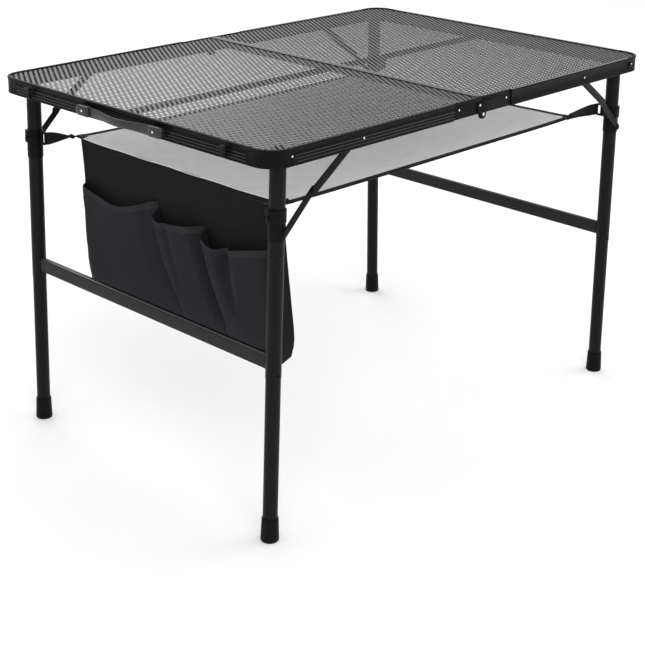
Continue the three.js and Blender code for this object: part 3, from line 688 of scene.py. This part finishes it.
def build_crossbar(half, side):
    """The flat bar with rounded edges that joins a frame's two legs."""
    m = leg_matrix(side)
    w, h, r = 5.0, 11.0, 2.6
    section = []
    corners = ((w - r, h - r, 0), (-w + r, h - r, 90), (-w + r, -h + r, 180), (w - r, -h + r, 270))
    for cx, cz, start in corners:
        for i in range(7):
            angle = math.radians(start + i * 15)
            section.append((cx + r * math.cos(angle), cz + r * math.sin(angle)))
    rows = []
    for y in (-259.2, -258.8, 258.8, 259.2):
        inset = 0.4 if abs(y) > 259 else 0.0
        rows += [(x * (1 - inset / w), y, z * (1 - inset / h) - CROSSBAR_DOWN) for x, z in section]
    faces = closed_tube_faces(4, len(section))
    obj = make(f"crossbar_{half}_skin", *moved((rows, faces), m), BAR, "leg_frame_" + half, 40,
               "tube_paint")
    # Faces along the outer half of the bar's top edge get the lighter material: a painted highlight.
    top_edge = TOP - PIVOT_DEPTH - CROSSBAR_DOWN * math.cos(math.radians(SPLAY)) + h - 0.9
    middle = LEG_X + CROSSBAR_DOWN * math.sin(math.radians(SPLAY))
    shine(obj, EDGE_HIGHLIGHT, lambda x, y, z: z > top_edge and abs(x) > middle)
    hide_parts(f"crossbar_{half}")


# ---------------------------------------------------------------- braces, hinges, latches, handle
BRACE_SCREW_X, CORNER_SCREW_X, HINGE_SCREW_X = 261, 397, 56
BRACE_RIVET_Y, BRACE_RIVET_DOWN = 281.9, 108
HINGE_INSET, COVER_THICK = 2.4, 1.9


def build_hardware():
    for half, side in HALVES:
        for place, edge in PLACES:
            body = "half_" + half
            y = edge * (WIDTH / 2 - RECESS)
            refined(f"hinge_{half}_{place}", PLASTIC, body, 0.35, slot="black_plastic")
            for kind in ("brace_rail_link", "brace_leg_link"):
                node = f"{kind}_{half}_{place}"
                refined(node, STEEL, node, 0.4, slot="black_steel")
            out = (0, edge, 0)
            screw(f"brace_screw_{half}_{place}", side * BRACE_SCREW_X, y, TOP - PIN_DEPTH, out, body)
            screw(f"corner_screw_{half}_{place}", side * CORNER_SCREW_X, y + edge * 0.2, TOP - 11, out,
                  body)
            hinge_y = edge * (WIDTH / 2 - HINGE_INSET)
            screw(f"hinge_screw_{half}_{place}", side * HINGE_SCREW_X, hinge_y, TOP - 10.5, out, body)
            rivet = leg_matrix(side) @ Vector((0, edge * BRACE_RIVET_Y, -BRACE_RIVET_DOWN))
            head = dome(6.2, 2.6, rivet.x, rivet.y, rivet.z, out, 28)
            make(f"brace_rivet_{half}_{place}", *head, STEEL, "leg_frame_" + half, slot="black_steel")
    for place, edge in PLACES:
        plate_y = edge * (WIDTH / 2 - HINGE_INSET + COVER_THICK)
        screw(f"hinge_pin_{place}", 0, plate_y - edge * 0.3, TOP - 26, (0, edge, 0), "half_b", 2.6, 4.4)
        screw(f"cover_screw_{place}", -9.5, plate_y, TOP - 11, (0, edge, 0), "half_b", 1.9, 3.0)
        refined(f"latch_hook_{place}", STEEL, f"latch_hook_{place}", 0.4, slot="black_steel")
        refined(f"latch_keeper_{place}", PLASTIC, "half_b", 0.5, slot="black_plastic")
        build_bracket(place, edge)
    build_strap()


HANDLE_Y, HANDLE_Z = 81, TOP - 14.6


def build_bracket(place, edge):
    """A rounded cover over the strap's end, with its screw."""
    face = -LENGTH / 2 - GAP
    near, far, high = 67, 95, 7.8
    small, large = 2, 6.2
    corners = ((far - large, high - large, large, 0), (near + small, high - small, small, 90),
               (near + small, -high + small, small, 180), (far - large, -high + large, large, 270))
    outline = []
    for cy, cz, radius, start in corners:
        for i in range(6):
            angle = math.radians(start + i * 18)
            outline.append((cy + radius * math.cos(angle), cz + radius * math.sin(angle)))
    points = []
    levels = ((0.0, 1.0), (-5.6, 1.0), (-7.6, 0.96), (-8.6, 0.86), (-9.0, 0.7), (-9.0, 0.0))
    for out, scale in levels:
        for y, z in outline:
            along_y = HANDLE_Y + (y - HANDLE_Y) * scale
            points.append((face + out, edge * along_y, HANDLE_Z + z * scale))
    n = len(outline)
    faces = grid_faces(len(levels), n, wrap=True)
    faces.append(tuple(range(n)))
    obj = make(f"handle_bracket_{place}_skin", *clean((points, faces)), HANDLE, "half_a", 40,
               "black_plastic")
    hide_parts(f"handle_bracket_{place}")
    screw(f"handle_screw_{place}", face - 9.0 + 0.4, edge * 79, HANDLE_Z + 0.5, (-1, 0, 0), "half_a",
          2.0, 3.2)


def build_strap():
    """A moulded strap: broad and flat at its ends, narrow and round at the middle."""
    face = -LENGTH / 2 - GAP
    rows, ring = 61, 20
    points = []
    for i in range(rows):
        t = -1 + 2 * i / (rows - 1)
        y = t * 70
        bow = 6 * math.cos(min(abs(y) / 63, 1) * math.pi / 2) ** 2
        wide = 6.0 + 1.0 * min(max((abs(y) - 25) / 30, 0), 1)
        thick = 1.6 + 0.5 * math.cos(t * math.pi / 2)
        for j in range(ring):
            a = 2 * math.pi * j / ring
            c, s = math.cos(a), math.sin(a)
            x = math.copysign(abs(c) ** 0.7, c) * thick
            z = math.copysign(abs(s) ** 0.7, s) * wide
            points.append((face - 1.6 - 1.5 - bow + x, y, HANDLE_Z - 1.4 * (1 - abs(t)) + z))
    obj = make("handle_strap_skin", points, closed_tube_faces(rows, ring), HANDLE, "handle_strap", 50,
               "handle_plastic")
    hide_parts("handle_strap")


# ---------------------------------------------------------------- shelf
def shelf_height(x, y):
    u, v = x / SHELF_X, y / SHELF_Y
    sag = -SHELF_SAG * (1 - u * u) * (0.1 + 0.9 * (1 - v * v))
    ripple = 0.7 * math.sin(0.045 * x + 0.03 * y) * (1 - u * u) + 0.5 * math.sin(0.06 * y - 0.02 * x)
    corner_pull = 2.0 * (abs(u) * abs(v)) ** 6
    return SHELF_Z + sag + ripple * (1 - v * v) + corner_pull


def shelf_point(u, v, lift=0.0):
    """The sheet's point for u and v from -1 to 1. Three edges bow in between the corners; the one
    that carries the organiser is straight."""
    x = (SHELF_X if u > 0 else SHELF_BACK) * u * (1 - 0.004 * (1 - v * v) * max(u, 0))
    y = SHELF_Y * v * (1 - 0.012 * (1 - u * u))
    return x, y, shelf_height(x, y) + lift


def build_shelf():
    nu, nv = 69, 47
    upper = [shelf_point(-1 + 2 * i / (nu - 1), -1 + 2 * j / (nv - 1), 0.45)
             for i in range(nu) for j in range(nv)]
    lower = [(x, y, z - 0.9) for x, y, z in upper]
    sheet = make("shelf_cloth", upper + lower, sheet_faces(nu, nv), SHELF, None, 60, "shelf_fabric")
    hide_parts("shelf_sheet")
    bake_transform(sheet)
    pieces = [build_shelf_binding(), build_shelf_stitches()]
    for half, side in HALVES:
        for place, edge in PLACES:
            pieces += build_corner(half, side, place, edge)


BIND = 0.024
BIND_RATIO = SHELF_X / SHELF_Y


def edge_line(inside, lift, steps=34):
    """The sheet's points at a constant distance inside three of its edges; the fourth is sewn to
    the organiser."""
    a, b = 1 - inside, 1 - inside * BIND_RATIO
    line = [shelf_point(-1 + (1 + a) * i / steps, -b, lift) for i in range(steps)]
    line += [shelf_point(a, -b + 2 * b * i / steps, lift) for i in range(steps)]
    line += [shelf_point(a - (1 + a) * i / steps, b, lift) for i in range(steps + 1)]
    return line


def build_shelf_binding():
    """Black tape folded over the sheet's edges."""
    fold = ((BIND, 1.0), (0.012, 1.6), (-0.004, 1.1), (-0.006, 0), (-0.004, -1.1), (0.012, -1.6),
            (BIND, -1.0))
    rings = [edge_line(inside, lift) for inside, lift in fold]
    n = len(rings[0])
    points = [ring[i] for i in range(n) for ring in rings]
    faces = closed_tube_faces(n, len(rings))
    obj = make("shelf_binding", points, faces, BINDING, None, 60, "organiser_fabric")
    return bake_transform(obj)


def stitch(a, b, up, width=0.42, high=0.35):
    """One thread stitch between two points, as a small raised bar."""
    a, b, up = Vector(a), Vector(b), Vector(up)
    way = (b - a).normalized()
    side = way.cross(up).normalized() * width
    rise = up.normalized() * high
    points = [a - side, a + side, b + side, b - side,
              a - side * 0.5 + rise + way * 0.4, a + side * 0.5 + rise + way * 0.4,
              b + side * 0.5 + rise - way * 0.4, b - side * 0.5 + rise - way * 0.4]
    return [tuple(p) for p in points], BOX_FACES


def stitched_line(points, pitch=4.2, length=2.8, up=(0, 0, 1)):
    """A row of stitches along a line of points."""
    parts = []
    carry = 0.0
    for a, b in zip(points, points[1:]):
        a, b = Vector(a), Vector(b)
        span = (b - a).length
        way = (b - a).normalized()
        at = carry
        while at + length <= span:
            parts.append(stitch(a + way * at, a + way * (at + length), up))
            at += pitch
        carry = max(at - span, 0.0)
    return parts


def build_shelf_stitches():
    line = edge_line(BIND - 0.006, 1.05)
    obj = make("shelf_stitches", *merge(stitched_line(line)), THREAD, None, 0, "organiser_fabric")
    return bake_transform(obj)


def build_corner(half, side, place, edge):
    """A sewn patch on the sheet's corner and the twisted strap that ties it to the leg's lug."""
    corner = Vector(shelf_point(side * 0.985, edge * 0.98))
    patch = [shelf_point(side, edge, 2.1), shelf_point(side * 0.955, edge, 1.9),
             shelf_point(side * 0.965, edge * 0.95, 1.7), shelf_point(side, edge * 0.93, 1.9)]
    low = [(x, y, z - 4.0) for x, y, z in patch]
    sewn = make(f"corner_patch_{half}_{place}", patch + low, BOX_FACES, BINDING, "half_" + half, 0,
                "organiser_fabric")
    lug = leg_matrix(side, edge * LEG_Y) @ Vector((0, -edge * LUG_IN, -LUG_DOWN))
    rows = 32
    knotted = side < 0 < edge
    points = []
    for i in range(rows):
        t = i / (rows - 1)
        at = corner.lerp(lug, t)
        at.z += 1.5 * math.sin(math.pi * t)
        way = (lug - corner).normalized()
        flat = Vector((-way.y, way.x, 0)).normalized()
        ease = t * t * (3 - 2 * t)
        turn = math.radians(88 * ease if knotted else 66 + 22 * ease)
        across = (Matrix.Rotation(turn * side * edge, 3, way) @ flat).normalized()
        normal = way.cross(across).normalized()
        bead = 2.8 * math.exp(-(((t - 0.26) / 0.05) ** 2)) if knotted else 0.0
        leaf = max(t - 0.32, 0) / 0.68 if knotted else 0.4 + 0.6 * t
        wide = 1.9 + bead + 9.0 * leaf ** 0.8 * (1 - 0.15 * max(leaf - 0.85, 0) / 0.15)
        for a, b in ((-1, 0.6), (0, 0.8), (1, 0.6), (1, -0.6), (0, -0.8), (-1, -0.6)):
            curl = 0.9 * math.sin(math.pi * t) * (1 - a * a)
            points.append(tuple(at + across * a * wide + normal * (b * (1 + bead) + curl)))
    strap = make(f"corner_strap_{half}_{place}", points, closed_tube_faces(rows, 6), BINDING, None, 60,
                 "organiser_fabric")
    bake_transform(strap)
    return [sewn, strap]


# ---------------------------------------------------------------- organiser
BAG_X, BAG_TOP = -341.5, -104
BAG_EDGE_BACK = ((-105, 221), (-140, 218), (-172, 217), (-195, 219), (-217, 217), (-270, 219), (-317, 216),
                 (-338, 205), (-350, 186))
BAG_EDGE_FRONT = ((-105, -222), (-172, -233), (-234, -242), (-293, -249), (-318, -250), (-332, -246),
                  (-341, -236), (-344, -226))
SEAM_1 = ((-105, 42), (-160, 35), (-184, 32), (-250, 14), (-309, -10), (-341, -18))
SEAM_2 = ((-105, -66), (-176, -68), (-240, -86), (-311, -108), (-341, -112))


def along(curve, z):
    """The curve's y at z, which is negative below the table's top surface."""
    points = sorted(curve)
    zs = [p[0] for p in points]
    return float(np.interp(z, zs, [p[1] for p in points]))


def bag_bottom(y):
    """The z of the organiser's lower edge, from the table's top surface."""
    ys = (-252, -249, -243, -234, -222, -73, 41, 130, 160, 188, 204, 214, 219)
    zs = (-316, -326, -334, -339, -342, -340, -342, -347, -352, -352, -346, -336, -322)
    return float(np.interp(y, ys, zs))


def back_ripple(y, z):
    return 1.6 * math.sin(0.02 * y + 0.011 * z) + 0.9 * math.sin(0.05 * y - 0.02 * z)


def sheet_mesh(name, rows, columns, at, material, thick=0.8, body="half_a"):
    """A thin two-sided sheet over a grid of points given by at(i, j)."""
    front = [Vector(at(i / (rows - 1), j / (columns - 1))) for i in range(rows) for j in range(columns)]
    back = [(p.x + thick, p.y, p.z) for p in front]
    points = [tuple(p) for p in front] + back
    return make(name, points, sheet_faces(rows, columns), material, body, 60, "organiser_fabric")


POCKETS = (
    # name, left seam, right seam, top edge as (u, z), depth, pleat's depth and its place
    ("left", BAG_EDGE_BACK, SEAM_1, ((0, -174), (0.25, -183), (0.5, -191), (0.75, -178), (1, -160)),
     15, 0.3, 0.86),
    ("middle", SEAM_1, SEAM_2, ((0, -166), (0.04, -184), (0.2, -187), (0.6, -181), (1, -175)),
     24, 0.2, 0.3),
    ("right", SEAM_2, BAG_EDGE_FRONT,
     ((0, -175), (0.06, -187), (0.14, -200), (0.45, -189), (0.8, -174), (1, -167)), 26, 0.8, 0.3),
)


def pocket_surface(left, right, top, depth, pleat, fold):
    """A gaping pocket's front, as a function of u across it and v down it, both from 0 to 1."""
    us, zs = zip(*top)
    blur = (-0.09, -0.06, -0.03, 0, 0.03, 0.06, 0.09)

    def pocket_at(u, v, out=0.0):
        z_top = sum(float(np.interp(u + d, us, zs)) for d in blur) / len(blur)
        z = z_top + (-344.0 - z_top) * v
        ya, yb = along(left, z), along(right, z)
        y = ya + (yb - ya) * u
        z = z_top + (bag_bottom(y) + 1 - z_top) * v
        rise = min(u / 0.07, 1.0)
        fall = min((1 - u) / 0.25, 1.0)
        body = math.sin(rise * math.pi / 2) * math.sin(fall * math.pi / 2) ** 0.8
        valley = pleat * math.exp(-(((u - fold) / 0.07) ** 2)) * max(0.0, 1 - v * 1.5)
        settle = (1 - v) ** 0.8 * 0.85 + 0.15 * math.sin(math.pi * min(v * 1.1, 1))
        x = BAG_X - 1.6 - depth * body * settle * (1 - valley) - out * min(body * 3, 1)
        x += back_ripple(y, z) * 0.5
        return x, y, TOP + z

    return pocket_at


def build_organiser():
    def back_at(u, v):
        z = BAG_TOP - 240 * v
        yb, yf = along(BAG_EDGE_BACK, z), along(BAG_EDGE_FRONT, z)
        y = yb + (yf - yb) * u
        z = BAG_TOP + (bag_bottom(y) - BAG_TOP) * v
        return BAG_X + back_ripple(y, z) * min(v * 3, 1), y, TOP + z

    # The back panel takes the darker copy of the cloth: painted shade.
    back = sheet_mesh("organiser_back", 61, 41, back_at, BAG_SHADED)
    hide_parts("pocket_organiser")

    made = []
    for name, *shape in POCKETS:
        pocket_at = pocket_surface(*shape)
        face = sheet_mesh(f"organiser_pocket_{name}", 57, 35, pocket_at, BAG)
        hem = sheet_mesh(f"organiser_hem_{name}", 57, 5,
                         lambda u, v, at=pocket_at: at(u, v * 0.06 - 0.004, out=0.6), HEM, 1.2)
        made += [face, hem]
    made.append(build_bag_edges(back_at))
    made.append(build_bag_stitches())


def tube_along(points, radius, flat=1.0, ring=8, normal=(1, 0, 0)):
    """A tape or cord along a line of points; flat squeezes it along the normal."""
    points = [Vector(p) for p in points]
    n = Vector(normal)
    vertices = []
    for i, p in enumerate(points):
        way = (points[min(i + 1, len(points) - 1)] - points[max(i - 1, 0)]).normalized()
        side = way.cross(n).normalized()
        for j in range(ring):
            a = 2 * math.pi * j / ring
            vertices.append(tuple(p + side * radius * math.cos(a) + n * radius * flat * math.sin(a)))
    return vertices, closed_tube_faces(len(points), ring)


def bag_outline(back_at):
    """The organiser's two side edges and its lower edge, as one line."""
    steps = np.linspace(0, 1, 25)
    line = [back_at(0, v) for v in steps]
    line += [back_at(u, 1) for u in steps[1:]]
    line += [back_at(1, v) for v in steps[-2::-1]]
    return line


def build_bag_edges(back_at):
    return make("organiser_edging", *tube_along(bag_outline(back_at), 2.6, 0.5), BINDING, "half_a", 60,
                "organiser_fabric")


def build_bag_stitches():
    parts = []
    for seam in (SEAM_1, SEAM_2):
        line = [(BAG_X - 2.4, along(seam, z), TOP + z) for z in range(-196, -326, -6)]
        parts += stitched_line(line, up=(-1, 0, 0))
    top = [(BAG_X - 1.9 - 0.4, y, TOP - 111) for y in range(210, -214, -12)]
    parts += stitched_line(top, up=(-1, 0, 0))
    return make("organiser_stitches", *merge(parts), THREAD, "half_a", 0, "organiser_fabric")


# ---------------------------------------------------------------- floor, light and camera
def build_stage():
    reach = 14.0
    corners = [(-reach, -reach, 0), (reach, -reach, 0), (reach, reach, 0), (-reach, reach, 0)]
    data = bpy.data.meshes.new("floor")
    data.from_pydata(corners, [], [(0, 1, 2, 3)])
    floor = bpy.data.objects.new("floor", data)
    bpy.context.scene.collection.objects.link(floor)
    pale = Nodes("pale_floor", (0.86, 0.86, 0.865), 0.9, specular=0.1)
    tone = pale.mix(pale.noise(1.2, 2), (0.85, 0.85, 0.855), (0.87, 0.87, 0.875))
    data.materials.append(pale.finish(tone))

    world = bpy.data.worlds.new("studio")
    bpy.context.scene.world = world
    world.use_nodes = True
    background = world.node_tree.nodes["Background"]
    background.inputs["Color"].default_value = (1.0, 1.0, 1.0, 1)
    background.inputs["Strength"].default_value = 0.95

    for name, at, size, power in (
        ("key", (-2.2, -2.6, 3.4), 2.6, 62),
        ("fill", (2.8, -1.8, 2.6), 2.4, 30),
        ("back", (1.2, 3.0, 3.2), 2.6, 46),
    ):
        light = bpy.data.lights.new(name, "AREA")
        light.shape = "SQUARE"
        light.size = size
        light.energy = power
        lamp = bpy.data.objects.new(name, light)
        bpy.context.scene.collection.objects.link(lamp)
        lamp.location = at
        aim = Vector((0, 0, 0.4)) - Vector(at)
        lamp.rotation_euler = aim.to_track_quat("-Z", "Y").to_euler()


def build_camera():
    camera = bpy.data.cameras.new("camera")
    camera.sensor_width = 36
    camera.lens = CAMERA_LENS
    camera.shift_y = CAMERA_SHIFT
    camera.dof.use_dof = False
    obj = bpy.data.objects.new("camera", camera)
    bpy.context.scene.collection.objects.link(obj)
    obj.location = CAMERA_AT
    azimuth, elevation, roll = (math.radians(d) for d in CAMERA_TURN)
    away = Vector((math.cos(elevation) * math.cos(azimuth), math.cos(elevation) * math.sin(azimuth),
                   math.sin(elevation)))
    look = (-away).to_track_quat("-Z", "Y").to_matrix() @ Matrix.Rotation(roll, 3, "Z")
    obj.rotation_euler = look.to_euler()
    bpy.context.scene.camera = obj


build_camera()
build_stage()
build_rails()
for half, side in HALVES:
    expanded_panel(half, side)
build_legs()
build_hardware()
build_shelf()
build_organiser()
bpy.context.scene.view_settings.view_transform = "Standard"
